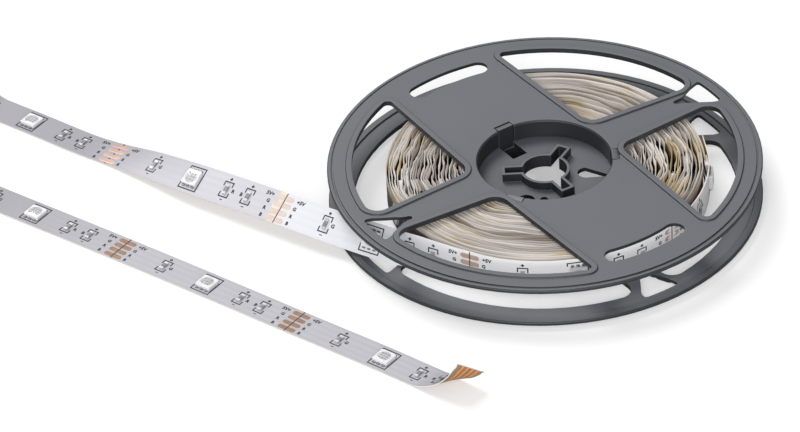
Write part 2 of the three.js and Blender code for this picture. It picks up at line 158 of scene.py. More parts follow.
# The route as fine samples: point, direction of travel, width direction, lamp side, length
def trace(stations, fine=10):
    first = tuple(2 * a - b for a, b in zip(stations[0], stations[1]))
    last = tuple(2 * a - b for a, b in zip(stations[-1], stations[-2]))
    padded = [first] + list(stations) + [last]
    rows = []
    for i in range(len(stations) - 1):
        for k in range(fine):
            t = k / fine
            bank = stations[i][3] + t * (stations[i + 1][3] - stations[i][3])
            rows.append([between(padded[i:i + 4], t), bank])
    rows.append([Vector(stations[-1][:3]), stations[-1][3]])
    smooth = [row[1] for row in rows]
    for _ in range(fine):
        smooth = [smooth[0]] + [
            (a + 2 * b + c) / 4 for a, b, c in zip(smooth, smooth[1:], smooth[2:])
        ] + [smooth[-1]]
    samples = []
    length = 0.0
    for i, (point, _) in enumerate(rows):
        before = rows[max(i - 1, 0)][0]
        after = rows[min(i + 1, len(rows) - 1)][0]
        along = (after - before).normalized()
        left = Vector((-along.y, along.x, 0)).normalized()
        bank = math.radians(smooth[i])
        across = left * math.cos(bank) - along.cross(left) * math.sin(bank)
        if i:
            length += (point - rows[i - 1][0]).length
        samples.append((point * MM, along, across, along.cross(across), length * MM))
    return samples


# sRGB hex colour as the linear value that shaders work with
def linear(code):
    channels = [int(code[i:i + 2], 16) / 255 for i in (1, 3, 5)]
    return [c / 12.92 if c <= 0.04045 else ((c + 0.055) / 1.055) ** 2.4 for c in channels] + [1.0]


# A node with its settings, its values and its links
def add(tree, kind, settings=None, inputs=None):
    made = tree.nodes.new(kind)
    for key, value in (settings or {}).items():
        setattr(made, key, value)
    for key, value in (inputs or {}).items():
        socket = made.inputs[key]
        if isinstance(value, bpy.types.NodeSocket):
            tree.links.new(value, socket)
        else:
            socket.default_value = value
    return made


# An empty material with its surface shader and output
def surface(name, inputs):
    material = bpy.data.materials.new(name)
    material.use_nodes = True
    tree = material.node_tree
    tree.nodes.clear()
    shader = add(tree, "ShaderNodeBsdfPrincipled", inputs=inputs)
    add(tree, "ShaderNodeOutputMaterial", inputs={"Surface": shader.outputs[0]})
    return material, tree, shader


# White solder mask: a printed, slightly glossy film over copper. The copper lanes below
# show as faint lengthwise bands, and the film has a fine orange-peel skin. The one white is
# painted in paler and greyer copies as light and shade: paler on the length that comes off the
# reel as painted light, palest on its loose turn, and greyer on the others with their distance
# from it as painted shade.
lane_spacing = 2.3 * MM
peel_height = 0.1 * MM


# A mask has a dark and a light tint, one over the lanes, and one that it turns to between two
# places along the board, given in millimetres. That last tint is painted light where it is paler
# and painted shade where it is darker.
def mask_material(name, dark, light, over_lanes, turned, turns_from, turns_to):
    material, tree, shader = surface(name, {"Roughness": 0.42, "IOR": 1.5})
    board_uv = add(tree, "ShaderNodeUVMap", {"uv_map": "board"})
    axes = add(tree, "ShaderNodeSeparateXYZ", inputs={0: board_uv.outputs[0]})
    phase = add(tree, "ShaderNodeMath", {"operation": "MULTIPLY"}, {
        0: axes.outputs[1],
        1: 2 * math.pi / lane_spacing,
    })
    wave = add(tree, "ShaderNodeMath", {"operation": "COSINE"}, {0: phase.outputs[0]})
    lanes = add(tree, "ShaderNodeMapRange", inputs={
        "Value": wave.outputs[0],
        "From Min": -0.4,
        "From Max": 0.4,
    })
    mottle = add(tree, "ShaderNodeTexNoise", inputs={
        "Vector": board_uv.outputs[0],
        "Scale": 160.0,
        "Detail": 3.0,
    })
    tint = add(tree, "ShaderNodeMix", {"data_type": "RGBA"}, {
        "Factor": mottle.outputs[0],
        "A": linear(dark),
        "B": linear(light),
    })
    banded = add(tree, "ShaderNodeMix", {"data_type": "RGBA"}, {
        "Factor": lanes.outputs[0],
        "A": tint.outputs["Result"],
        "B": linear(over_lanes),
    })
    along = add(tree, "ShaderNodeMapRange", inputs={
        "Value": axes.outputs[0],
        "From Min": turns_from * MM,
        "From Max": turns_to * MM,
    })
    # Painted light and shade: along the board the tint turns paler or greyer.
    painted_light_shade_mix = add(tree, "ShaderNodeMix", {"data_type": "RGBA"}, {
        "Factor": along.outputs[0],
        "A": banded.outputs["Result"],
        "B": linear(turned),
    })
    tree.links.new(painted_light_shade_mix.outputs["Result"], shader.inputs["Base Color"])
    peel = add(tree, "ShaderNodeTexNoise", inputs={
        "Vector": board_uv.outputs[0],
        "Scale": 900.0,
        "Detail": 2.0,
    })
    bump = add(tree, "ShaderNodeBump", inputs={
        "Strength": 0.12,
        "Distance": peel_height,
        "Height": peel.outputs[0],
    })
    tree.links.new(bump.outputs[0], shader.inputs["Normal"])
    return material


# Painted light on the length off the reel and its loose turn, painted shade on the others.
painted_light_mask = mask_material("purer_white_solder_mask", "#cdcdd3", "#d6d6dc", "#cfcfd5", "#f8f8fa", 135, 115)
solder_mask = mask_material("white_solder_mask", "#b9b8bf", "#c3c2c8", "#bbbac1", "#94939a", 195, 240)
shaded_grey_mask = mask_material("lavender_grey_solder_mask", "#a7a6ad", "#b1b0b6", "#a8a7ae", "#929198", 140, 90)

# Polyimide underside: amber film over four copper lanes, paler where each lane's edge is,
# and dull green-grey along both borders. It reads the UV map back_offset away from the top.
back_offset = 0.1
underside, tree, shader = surface("amber_polyimide_underside", {"Roughness": 0.4, "IOR": 1.6})
back_uv = add(tree, "ShaderNodeUVMap", {"uv_map": "board"})
back_axes = add(tree, "ShaderNodeSeparateXYZ", inputs={0: back_uv.outputs[0]})
back_across = add(tree, "ShaderNodeMapRange", inputs={
    "Value": back_axes.outputs[1],
    "From Min": back_offset - board_width / 2 * MM,
    "From Max": back_offset + board_width / 2 * MM,
})
bands = add(tree, "ShaderNodeValToRGB", inputs={0: back_across.outputs[0]})
amber = "#c27c43"
stripe = "#f3c08a"
border = "#9c8f70"
stripe_half = 0.015
stripe_fade = 0.02
band_stops = [(0.0, border), (0.09, border), (0.12, amber)]
for centre in (0.22, 0.41, 0.60, 0.79):
    band_stops += [
        (centre - stripe_half - stripe_fade, amber),
        (centre - stripe_half, stripe),
        (centre + stripe_half, stripe),
        (centre + stripe_half + stripe_fade, amber),
    ]
band_stops += [(0.9, amber), (0.93, border)]
while len(bands.color_ramp.elements) < len(band_stops):
    bands.color_ramp.elements.new(0.5)
for element, (place, colour) in zip(bands.color_ramp.elements, band_stops):
    element.position = place
    element.color = linear(colour)
grain = add(tree, "ShaderNodeTexNoise", inputs={
    "Vector": back_uv.outputs[0],
    "Scale": 1400.0,
    "Detail": 4.0,
})
grain_tint = add(tree, "ShaderNodeMix", {"data_type": "RGBA", "blend_type": "MULTIPLY"}, {
    "Factor": 0.55,
    "A": bands.outputs[0],
    "B": grain.outputs[1],
})
tree.links.new(grain_tint.outputs["Result"], shader.inputs["Base Color"])


# A material whose colour drifts between two tints in a fine cloud
def clouded(name, inputs, scale, detail, dark, light, uv_map=None):
    material, tree, shader = surface(name, inputs)
    if uv_map:
        place = add(tree, "ShaderNodeUVMap", {"uv_map": uv_map}).outputs[0]
    else:
        place = add(tree, "ShaderNodeTexCoord").outputs["Object"]
    cloud = add(tree, "ShaderNodeTexNoise", inputs={"Vector": place, "Scale": scale, "Detail": detail})
    tint = add(tree, "ShaderNodeMix", {"data_type": "RGBA"}, {
        "Factor": cloud.outputs[0],
        "A": linear(dark),
        "B": linear(light),
    })
    tree.links.new(tint.outputs["Result"], shader.inputs["Base Color"])
    return material


# Cut edge of the board: the sheared side of film and glue, cream and matt.
sheared = {"Roughness": 0.7}
cut_edge = clouded("sheared_board_edge", sheared, 700.0, 3.0, "#c9c0b6", "#e2dcd6", "board")

# The board's UV map "board" holds the length along it and the place across it in metres. The
# underside, the long sides and the two tips each lie clear of the top in it.
cells_across = 8
side_offset = 0.2
tip_offset = 0.3


# A mesh of what a bmesh holds
def mesh_of(name, bm):
    mesh = bpy.data.meshes.new(name)
    bm.to_mesh(mesh)
    bm.free()
    return mesh


# The board itself: a thin closed strip swept along its route
def board_mesh(name, stations, mask, painted_light_until=0.0):
    samples = trace(stations)
    finishes = (mask, underside, cut_edge, painted_light_mask)
    half = board_width / 2 * MM
    lift = board_thickness / 2 * MM
    widths = [-half + 2 * half * j / cells_across for j in range(cells_across + 1)]
    bm = bmesh.new()
    uv = bm.loops.layers.uv.new("board")
    places = {}
    for i, (point, _, across, face, _) in enumerate(samples):
        for j, offset in enumerate(widths):
            for side in (1, -1):
                places[i, j, side] = bm.verts.new(point + across * offset + face * lift * side)

    def quad(keys, uvs, material):
        made = bm.faces.new([places[key] for key in keys])
        made.material_index = finishes.index(material)
        made.smooth = True
        for loop, value in zip(made.loops, uvs):
            loop[uv].uv = value

    for i in range(len(samples) - 1):
        s0 = samples[i][4]
        s1 = samples[i + 1][4]
        top = painted_light_mask if s0 < painted_light_until else mask
        for j in range(cells_across):
            w0 = widths[j]
            w1 = widths[j + 1]
            b0 = w0 + back_offset
            b1 = w1 + back_offset
            quad([(i, j, 1), (i + 1, j, 1), (i + 1, j + 1, 1), (i, j + 1, 1)],
                 [(s0, w0), (s1, w0), (s1, w1), (s0, w1)], top)
            quad([(i, j + 1, -1), (i + 1, j + 1, -1), (i + 1, j, -1), (i, j, -1)],
                 [(s0, b1), (s1, b1), (s1, b0), (s0, b0)], underside)
        u0 = side_offset
        u1 = side_offset + board_thickness * MM
        for j, low, high in ((0, -1, 1), (cells_across, 1, -1)):
            quad([(i, j, low), (i + 1, j, low), (i + 1, j, high), (i, j, high)],
                 [(s0, u0), (s1, u0), (s1, u1), (s0, u1)], cut_edge)
    tip_uvs = [(0, tip_offset), (MM, tip_offset), (MM, tip_offset + MM), (0, tip_offset + MM)]
    for j in range(cells_across):
        for i, a, b in ((0, 1, -1), (len(samples) - 1, -1, 1)):
            quad([(i, j, b), (i, j, a), (i, j + 1, a), (i, j + 1, b)], tip_uvs, cut_edge)
    bmesh.ops.recalc_face_normals(bm, faces=bm.faces)
    for edge in bm.edges:
        if len({polygon.material_index for polygon in edge.link_faces}) > 1:
            edge.smooth = False
    mesh = mesh_of(name, bm)
    for material in finishes:
        mesh.materials.append(material)
    return put(name, mesh), samples


# Lamps stand at an even pitch, and the board may be cut half way between two of them. At one
# such line the tail goes over into another length, soldered on.
led_pitch = 62.5 * MM
cut_line_at = led_pitch / 2
first_led_angle = -5.6
first_tail_led = math.radians(loose_turn_start - first_led_angle) * loose_turn_radius * MM
joint_unit = 3
joint_at = first_tail_led + joint_unit * led_pitch - cut_line_at
tail_board, tail_samples = board_mesh("tail_board", tail_stations, solder_mask, joint_at)
end_board, end_samples = board_mesh("end_board", end_stations, shaded_grey_mask)
end_length = end_samples[-1][4]


# Laying things on the board
# Marks, pads, lamps and resistors are flat patterns, repeated along a board and bent onto its
# surface. X in a pattern runs along the board, Y across it and Z away from it.
tail_lamps = 6
end_lamps = 4
first_end_led = end_length - cut_line_at - (end_lamps - 1) * led_pitch


# A geometry tree with its named inputs, and those inputs
def new_tree(name, inputs):
    tree = bpy.data.node_groups.new(name, "GeometryNodeTree")
    for label, kind in inputs:
        tree.interface.new_socket(label, in_out="INPUT", socket_type="NodeSocket" + kind)
    tree.interface.new_socket("Geometry", in_out="OUTPUT", socket_type="NodeSocketGeometry")
    return tree, add(tree, "NodeGroupInput").outputs


def build_lay_tree():
    tree, given = new_tree("lay_on_board", (
        ("Geometry", "Geometry"), ("Board", "Object"), ("First", "Float"), ("Pitch", "Float"),
        ("Count", "Int"), ("Turn", "Float"), ("Material", "Material"),
    ))
    start = add(tree, "ShaderNodeCombineXYZ", inputs={0: given["First"]})
    stride = add(tree, "ShaderNodeCombineXYZ", inputs={0: given["Pitch"]})
    line = add(tree, "GeometryNodeMeshLine", {"mode": "OFFSET"}, {
        "Count": given["Count"],
        "Start Location": start.outputs[0],
        "Offset": stride.outputs[0],
    })
    spin = add(tree, "ShaderNodeCombineXYZ", inputs={2: given["Turn"]})
    copies = add(tree, "GeometryNodeInstanceOnPoints", inputs={
        "Points": line.outputs[0],
        "Instance": given["Geometry"],
        "Rotation": spin.outputs[0],
    })
    real = add(tree, "GeometryNodeRealizeInstances", inputs={0: copies.outputs[0]})
    board = add(tree, "GeometryNodeObjectInfo", inputs={0: given["Board"]})
    board_map = add(tree, "GeometryNodeInputNamedAttribute", {"data_type": "FLOAT_VECTOR"}, {0: "board"})
    position = add(tree, "GeometryNodeInputPosition")
    flat = add(tree, "ShaderNodeSeparateXYZ", inputs={0: position.outputs[0]})
    where = add(tree, "ShaderNodeCombineXYZ", inputs={0: flat.outputs[0], 1: flat.outputs[1]})

    def sampled(field):
        return add(tree, "GeometryNodeSampleUVSurface", {"data_type": "FLOAT_VECTOR"}, {
            "Mesh": board.outputs["Geometry"],
            "Value": field.outputs[0],
            "UV Map": board_map.outputs[0],
            "Sample UV": where.outputs[0],
        })

    on_board = sampled(position)
    away = sampled(add(tree, "GeometryNodeInputNormal"))
    raised = add(tree, "ShaderNodeVectorMath", {"operation": "SCALE"}, {
        0: away.outputs[0],
        "Scale": flat.outputs[2],
    })
    target = add(tree, "ShaderNodeVectorMath", {"operation": "ADD"}, {
        0: on_board.outputs[0],
        1: raised.outputs[0],
    })
    off_board = add(tree, "FunctionNodeBooleanMath", {"operation": "NOT"}, {
        0: on_board.outputs["Is Valid"],
    })
    kept = add(tree, "GeometryNodeDeleteGeometry", inputs={
        "Geometry": real.outputs[0],
        "Selection": off_board.outputs[0],
    })
    bent = add(tree, "GeometryNodeSetPosition", inputs={
        "Geometry": kept.outputs[0],
        "Position": target.outputs[0],
    })
    coloured = add(tree, "GeometryNodeSetMaterial", inputs={
        "Geometry": bent.outputs[0],
        "Material": given["Material"],
    })
    add(tree, "NodeGroupOutput", inputs={0: coloured.outputs[0]})
    return tree


lay_tree = build_lay_tree()


# The plain mesh that an object comes to once it is evaluated
def plain_mesh(holder):
    bpy.context.view_layer.update()
    graph = bpy.context.evaluated_depsgraph_get()
    return bpy.data.meshes.new_from_object(holder.evaluated_get(graph))


# A piece made by evaluating a mesh with a tree on it
def bake(name, mesh, tree, values):
    holder = put(name + "_source", mesh)
    modifier = holder.modifiers.new(tree.name, "NODES")
    modifier.node_group = tree
    for item in tree.interface.items_tree:
        if item.item_type == "SOCKET" and item.in_out == "INPUT" and item.name in values:
            modifier[item.identifier] = values[item.name]
    holder.update_tag()
    result = plain_mesh(holder)
    holder.modifiers.remove(modifier)
    bpy.data.objects.remove(holder)
    return put(name, result)


# How patterns lie on each board. On the tail they are turned half round, so that a unit's pads
# lie before its lamp.
boards = {
    "tail": {"Board": tail_board, "First": first_tail_led, "Turn": math.pi},
    "end": {"Board": end_board, "First": first_end_led, "Turn": 0.0},
}


def lay(board, label, mesh, material, first_unit, count):
    values = dict(boards[board], Pitch=led_pitch, Count=count, Material=material)
    values["First"] += first_unit * led_pitch
    return bake(board + "_" + label, mesh, lay_tree, values)


# Printed marks
# Thin black screen print: a frame round each lamp, brackets round each resistor with + and -,
# a letter for each colour, the supply's marks at the pads, and the line where it may be cut.
# A resistor has its place along the unit, its letter, and the letter's place beside it.
ink_top = 0.03
ink_root = -0.05
stroke = 0.35
frame_x = 3.0
frame_y = 3.8
frame_side = 3.6
frame_gap_low = -1.9
frame_gap_high = 2.9
resistors_at = ((12.1, "R", 2.4), (19.7, "B", -2.3), (46.95, "G", 2.4))
bracket_half = 1.45
bracket_near = 1.15
bracket_far = 2.45
plus_at = 3.45
plus_size = 0.95
minus_half = 0.45
minus_low = -3.55
minus_high = -3.3
mark_height = 1.15
font_size_for_height = 1.4
letter_weight = 0.07
pad_rows = (3.3, 1.0, -1.4, -3.75)
supply_mark_at = 5.3
pad_letters = ("G", "R", "B")
pad_letters_at = (-4.9, 4.3)
pad_letter_height = 1.1
cut_line_half = 0.13
cut_line_reach = 4.9
cut_line_top = 0.07

ink = clouded("black_screen_print", {"Roughness": 0.6}, 2500.0, 2.0, "#040406", "#17171a")


# A flat bar, cut into lengths of 1 mm at most so that it can bend with the board
def bar(bm, x0, y0, x1, y1, low=ink_root, high=ink_top):
    steps = max(1, math.ceil(abs(x1 - x0)))
    rings = []
    for i in range(steps + 1):
        x = x0 + (x1 - x0) * i / steps
        ring = [(x, y0, low), (x, y1, low), (x, y1, high), (x, y0, high)]
        rings.append([bm.verts.new(Vector(corner) * MM) for corner in ring])
    for a, b in zip(rings, rings[1:]):
        for k in range(4):
            bm.faces.new((a[k], a[(k + 1) % 4], b[(k + 1) % 4], b[k]))
    bm.faces.new(rings[0][::-1])
    bm.faces.new(rings[-1])


def frame_lines(bm, segments):
    for x0, y0, x1, y1 in segments:
        half = stroke / 2
        bar(bm, min(x0, x1) - half, min(y0, y1) - half, max(x0, x1) + half, max(y0, y1) + half)


def cross(bm, x, y, size):
    bar(bm, x - size / 2, y - stroke / 2, x + size / 2, y + stroke / 2)
    bar(bm, x - stroke / 2, y + stroke / 2, x + stroke / 2, y + size / 2)
    bar(bm, x - stroke / 2, y - size / 2, x + stroke / 2, y - stroke / 2)


def letters(bm, text, x, y, height):
    curve = bpy.data.curves.new("letters", "FONT")
    curve.body = text
    curve.size = height * font_size_for_height * MM
    curve.align_x = "CENTER"
    curve.align_y = "CENTER"
    curve.resolution_u = 2
    curve.extrude = (ink_top - ink_root) / 2 * MM
    curve.offset = letter_weight * MM
    holder = put("letters", curve)
    mesh = plain_mesh(holder)
    mesh.transform(Matrix.Translation(Vector((x, y, (ink_top + ink_root) / 2)) * MM))
    bm.from_mesh(mesh)
    bpy.data.objects.remove(holder)
    bpy.data.meshes.remove(mesh)


def print_mesh():
    bm = bmesh.new()
    frame_lines(bm, [
        (-frame_x, frame_y, frame_x, frame_y),
        (frame_x, -frame_side, frame_x, frame_side),
        (-frame_x, -frame_y, frame_x, -frame_y),
        (-frame_x, frame_gap_high, -frame_x, frame_side),
        (-frame_x, -frame_side, -frame_x, frame_gap_low),
    ])
    for x, letter, beside in resistors_at:
        left = x - bracket_half
        right = x + bracket_half
        for sign in (1, -1):
            near = sign * bracket_near
            far = sign * bracket_far
            frame_lines(bm, [
                (left, far, right, far),
                (left, near, left, far - sign * stroke),
                (right, near, right, far - sign * stroke),
            ])
        cross(bm, x, plus_at, plus_size)
        bar(bm, x - minus_half, minus_low, x + minus_half, minus_high)
        letters(bm, letter, x + beside, 0.0, mark_height)
    cut = cut_line_at / MM
    letters(bm, "5V+", cut - supply_mark_at, pad_rows[0], mark_height)
    letters(bm, "+5V", cut + supply_mark_at, pad_rows[0], mark_height)
    for row, letter in zip(pad_rows[1:], pad_letters):
        for beside in pad_letters_at:
            letters(bm, letter, cut + beside, row, pad_letter_height)
    left = cut - cut_line_half
    right = cut + cut_line_half
    bar(bm, left, -cut_line_reach, right, cut_line_reach, 0.0, cut_line_top)
    return mesh_of("print_unit", bm)


tail_print = lay("tail", "print", print_mesh(), ink, 0, tail_lamps)
end_print = lay("end", "print", print_mesh(), ink, -1, end_lamps + 1)


# Solder pads
# Four bare copper lands on each side of the cut line, tinned thin. Those near the reel have
# a pink cast, and those of the front run are a darker brown.
pad_reach = 2.95
pad_half = 0.78
pad_top = 0.05
round_steps = 6
tinning = {"Roughness": 0.4, "Metallic": 0.25}
fresh_tinning = {"Roughness": 0.35, "Metallic": 0.25}
copper_pads = clouded("tinned_copper_brown", tinning, 450.0, 3.0, "#684b3c", "#a58066")
rose_pads = clouded("tinned_copper_rose", tinning, 450.0, 3.0, "#a48375", "#c3a194")
pale_pads = clouded("tinned_copper_pale", fresh_tinning, 450.0, 3.0, "#c4b0a6", "#d6c7bc")
reel_pads = clouded("tinned_copper_pink", tinning, 450.0, 3.0, "#c6a595", "#e0c6b9")


# Rings of equal point count, joined in order and closed at both ends
def stack(bm, rings):
    made = [[bm.verts.new(Vector(corner) * MM) for corner in ring] for ring in rings]
    for low, high in zip(made, made[1:]):
        for k in range(len(low)):
            n = (k + 1) % len(low)
            bm.faces.new((low[k], low[n], high[n], high[k]))
    bm.faces.new(made[0][::-1])
    bm.faces.new(made[-1])


def pad_mesh():
    bm = bmesh.new()
    cut = cut_line_at / MM
    for row in pad_rows:
        outline = []
        for centre, first in ((cut + pad_reach - pad_half, -90), (cut - pad_reach + pad_half, 90)):
            for k in range(round_steps + 1):
                angle = math.radians(first + 180 / round_steps * k)
                outline.append((centre + pad_half * math.cos(angle), row + pad_half * math.sin(angle)))
        stack(bm, [[(x, y, z) for x, y in outline] for z in (ink_root, pad_top)])
    return mesh_of("pad_unit", bm)


# The first unit's pads are hidden in the roll; those past the joint are the second length's
far_units = tail_lamps - joint_unit - 1
tail_pads_near = lay("tail", "pads_near", pad_mesh(), reel_pads, 1, joint_unit - 1)
tail_pads_joint = lay("tail", "pads_joint", pad_mesh(), pale_pads, joint_unit, 1)
tail_pads_far = lay("tail", "pads_far", pad_mesh(), rose_pads, joint_unit + 1, far_units)
end_pads = lay("end", "pads", pad_mesh(), copper_pads, -1, end_lamps + 1)


# Flux at the joint
# Where two lengths are joined, a cream film of flux has run out from under the far one's pads
# and dried. It is thin and glossy, and its edge wanders.
flux_top = 0.035
flux_margin = 0.1
flux_reaches = (2.3, 2.7, 2.8, 2.6, 2.2, 2.0, 2.4, 3.0, 3.2, 2.9, 2.3, 1.9, 1.8, 2.2, 2.5, 2.4)
gloss = {"Roughness": 0.3, "IOR": 1.5}
flux = clouded("dried_cream_flux", gloss, 500.0, 3.0, "#cdbfa6", "#ddd6cb")


def flux_mesh():
    bm = bmesh.new()
    cut = cut_line_at / MM
    edge = board_width / 2 - flux_margin
    for i, reach in enumerate(flux_reaches):
        low = -edge + 2 * edge * i / len(flux_reaches)
        high = -edge + 2 * edge * (i + 1) / len(flux_reaches)
        bar(bm, cut - reach, low, cut, high, ink_root, flux_top)
    return mesh_of("flux_unit", bm)


tail_flux = lay("tail", "flux", flux_mesh(), flux, joint_unit, 1)


# LED packages
# A square moulded body of satin white nylon, 5 mm wide, with a round cup of glossy clear resin
# that looks grey over the chips, and three dull silver, tinned leads bent out on each of two
# sides. A ring of the resin's dome has its inset from the cup's edge and its height over the body.
led_width = 5.0
led_height = 1.05
led_foot = -0.02
led_draft = 0.1
led_draft_height = 0.2
led_bevel = 0.12
led_squareness = 14
led_rim_squareness = 12
cup_radius = 2.05
cup_depth = 0.35
cup_draft = 0.12
resin_gap = 0.01
dome_rings = ((0.03, -0.06), (0.35, -0.02), (1.25, 0.03))
chip_pitch = 0.95
chip_half_length = 0.33
chip_half_width = 0.24
chip_sunk = 0.1
chip_proud = 0.045
lead_pitch = 1.6
lead_half_width = 0.45
lead_thickness = 0.32
lead_reach = 0.55
lead_root = 0.1
ring_points = 32
nylon = {"Roughness": 0.38, "IOR": 1.5}
clear_resin = {"Roughness": 0.12, "IOR": 1.45, "Coat Weight": 0.6}
body_white = clouded("white_moulded_nylon", nylon, 600.0, 2.0, "#d2d2d5", "#e2e2e3")
resin = clouded("cast_clear_resin", clear_resin, 900.0, 2.0, "#a9a9ad", "#d2d2d4")
tin = {"Roughness": 0.35, "Metallic": 0.8}
tinned = clouded("tinned_lead", tin, 1500.0, 2.0, "#55555a", "#a8a8ac")


# A ring from a circle, at squareness 2, to a square
def rounded_square(half, squareness, z):
    ring = []
    for k in range(ring_points):
        angle = 2 * math.pi * (k + 0.5) / ring_points
        c = math.cos(angle)
        s = math.sin(angle)
        x = half * math.copysign(abs(c) ** (2 / squareness), c)
        y = half * math.copysign(abs(s) ** (2 / squareness), s)
        ring.append((x, y, z))
    return ring


def circle(radius, z):
    return rounded_square(radius, 2, z)


# The mesh of closed shapes, facing outwards
def unit(name, bm):
    bmesh.ops.recalc_face_normals(bm, faces=bm.faces)
    return mesh_of(name, bm)


def led_body_mesh():
    bm = bmesh.new()
    half = led_width / 2
    stack(bm, [
        rounded_square(half - led_draft, led_squareness, led_foot),
        rounded_square(half, led_squareness, led_draft_height),
        rounded_square(half, led_squareness, led_height - led_bevel),
        rounded_square(half - led_bevel, led_rim_squareness, led_height),
        circle(cup_radius, led_height),
        circle(cup_radius - cup_draft, led_height - cup_depth),
    ])
    return unit("led_body_unit", bm)


def led_resin_mesh():
    bm = bmesh.new()
    rings = [circle(cup_radius - cup_draft - resin_gap, led_height - cup_depth + resin_gap)]
    for inset, rise in dome_rings:
        rings.append(circle(cup_radius - inset, led_height + rise))
    stack(bm, rings)
    return unit("led_resin_unit", bm)


def led_chip_mesh():
    bm = bmesh.new()
    low = led_height - chip_sunk
    high = led_height + chip_proud
    for i in (-1, 0, 1):
        for j in (-1, 0, 1):
            x = i * chip_pitch
            y = j * chip_pitch
            bar(bm, x - chip_half_length, y - chip_half_width, x + chip_half_length, y + chip_half_width,
                low, high)
    return unit("led_chip_unit", bm)


def led_lead_mesh():
    bm = bmesh.new()
    for side in (-1, 1):
        for i in (-1, 0, 1):
            near = side * (led_width / 2 - lead_root)
            far = side * (led_width / 2 + lead_reach)
            x = i * lead_pitch
            bar(bm, x - lead_half_width, min(near, far), x + lead_half_width, max(near, far),
                0.0, lead_thickness)
    return unit("led_lead_unit", bm)


# Chip resistors
# A small ceramic bar across the board, its glaze dark and a little shiny, its two ends dipped
# in solder that is pale and dull.
chip_half = 0.55
chip_half_span = 0.9
chip_height = 0.5
cap_half = 0.6
cap_near = 0.85
cap_far = 1.6
cap_foot = -0.02
cap_height = 0.54
dull = {"Roughness": 0.4, "Metallic": 0.35}
glaze = clouded("dark_resistor_glaze", gloss, 1300.0, 1.0, "#3d3d43", "#a2a2a8")
solder = clouded("dull_solder", dull, 1300.0, 1.0, "#a9a9af", "#d2d2d7")


def chip_body_mesh():
    bm = bmesh.new()
    for x, _, _ in resistors_at:
        bar(bm, x - chip_half, -chip_half_span, x + chip_half, chip_half_span, 0.0, chip_height)
    return unit("chip_body_unit", bm)


def chip_end_mesh():
    bm = bmesh.new()
    for x, _, _ in resistors_at:
        for low, high in ((cap_near, cap_far), (-cap_far, -cap_near)):
            bar(bm, x - cap_half, low, x + cap_half, high, cap_foot, cap_height)
    return unit("chip_end_unit", bm)


tail_parts = []
end_parts = []
for label, build, material in (
    ("led_bodies", led_body_mesh, body_white),
    ("led_resin", led_resin_mesh, resin),
    ("led_chips", led_chip_mesh, tinned),
    ("led_leads", led_lead_mesh, tinned),
    ("resistor_bodies", chip_body_mesh, glaze),
    ("resistor_ends", chip_end_mesh, solder),
):
    on_tail = lay("tail", label, build(), material, 0, tail_lamps)
    on_end = lay("end", label, build(), material, 0, end_lamps)
    for piece, store in ((on_tail, tail_parts), (on_end, end_parts)):
        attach(piece, "root")
        store.append(piece)


def nodes_named(start):
    return sorted(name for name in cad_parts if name.startswith(start))


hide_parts(*nodes_named("tail_led_"))
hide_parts(*nodes_named("tail_resistor_"))
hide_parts(*nodes_named("end_led_"))
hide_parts(*nodes_named("end_resistor_"))

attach(tail_board, "root")
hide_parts("strip_tail")
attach(end_board, "root")
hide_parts("strip_end")
for piece, store in (
    (tail_flux, tail_parts),
    (tail_print, tail_parts),
    (tail_pads_near, tail_parts),
    (tail_pads_joint, tail_parts),
    (tail_pads_far, tail_parts),
    (end_print, end_parts),
    (end_pads, end_parts),
):
    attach(piece, "root")
    store.append(piece)


# The wound roll
# The same board wound on the drum, lamps outwards. Seen from above it is the board's edge:
# fine cream lines with brown gaps, wider where lamps hold two turns apart. Each turn has its own
# tone by its number, and some are yellowed. The walls between them are painted dark as painted
# shade: the white lamp side a deep brown-grey, the amber back a dark brown.
roll_inner = 21.1
roll_outer = 46.1
roll_turns = 30
roll_low = 1.95
wound_turn_height = 9.7
wound_turn_thickness = 0.22
points_per_turn = 120
calm_at_drum = 3
calm_outside = 4
wound_lamp_rise = 0.7
wound_lamp_depth = 1.1
wound_lamp_stand = 0.9
tone_step_per_turn = 1.9
tone_drift = 22.0

wound_edge, tree, shader = surface("wound_board_edges", {"Roughness": 0.65})
place = add(tree, "ShaderNodeTexCoord").outputs["Object"]
facing = add(tree, "ShaderNodeNewGeometry").outputs["Normal"]
upward = add(tree, "ShaderNodeSeparateXYZ", inputs={0: facing})
outward = add(tree, "ShaderNodeVectorMath", {"operation": "DOT_PRODUCT"}, {0: facing, 1: place})
turn_number = add(tree, "ShaderNodeAttribute", {"attribute_name": "turn"}).outputs["Fac"]
stepped = add(tree, "ShaderNodeMath", {"operation": "MULTIPLY"}, {
    0: turn_number,
    1: tone_step_per_turn,
})
slow = add(tree, "ShaderNodeVectorMath", {"operation": "MULTIPLY"}, {
    0: place,
    1: (tone_drift, tone_drift, 0.0),
})
level = add(tree, "ShaderNodeCombineXYZ", inputs={2: stepped.outputs[0]})
by_turn = add(tree, "ShaderNodeVectorMath", {"operation": "ADD"}, {
    0: slow.outputs[0],
    1: level.outputs[0],
})
turn_noise = add(tree, "ShaderNodeTexNoise", inputs={
    "Vector": by_turn.outputs[0],
    "Scale": 1.0,
    "Detail": 1.0,
})
clean = add(tree, "ShaderNodeMapRange", inputs={
    "Value": turn_noise.outputs[0],
    "From Min": 0.34,
    "From Max": 0.6,
})
broad = add(tree, "ShaderNodeTexNoise", inputs={"Vector": place, "Scale": 45.0, "Detail": 2.0})
other_noise = add(tree, "ShaderNodeSeparateColor", inputs={0: turn_noise.outputs["Color"]})
yellow_sum = add(tree, "ShaderNodeMath", {"operation": "ADD"}, {
    0: broad.outputs[0],
    1: other_noise.outputs[2],
})
yellowed = add(tree, "ShaderNodeMapRange", inputs={
    "Value": yellow_sum.outputs[0],
    "From Min": 1.08,
    "From Max": 1.25,
})
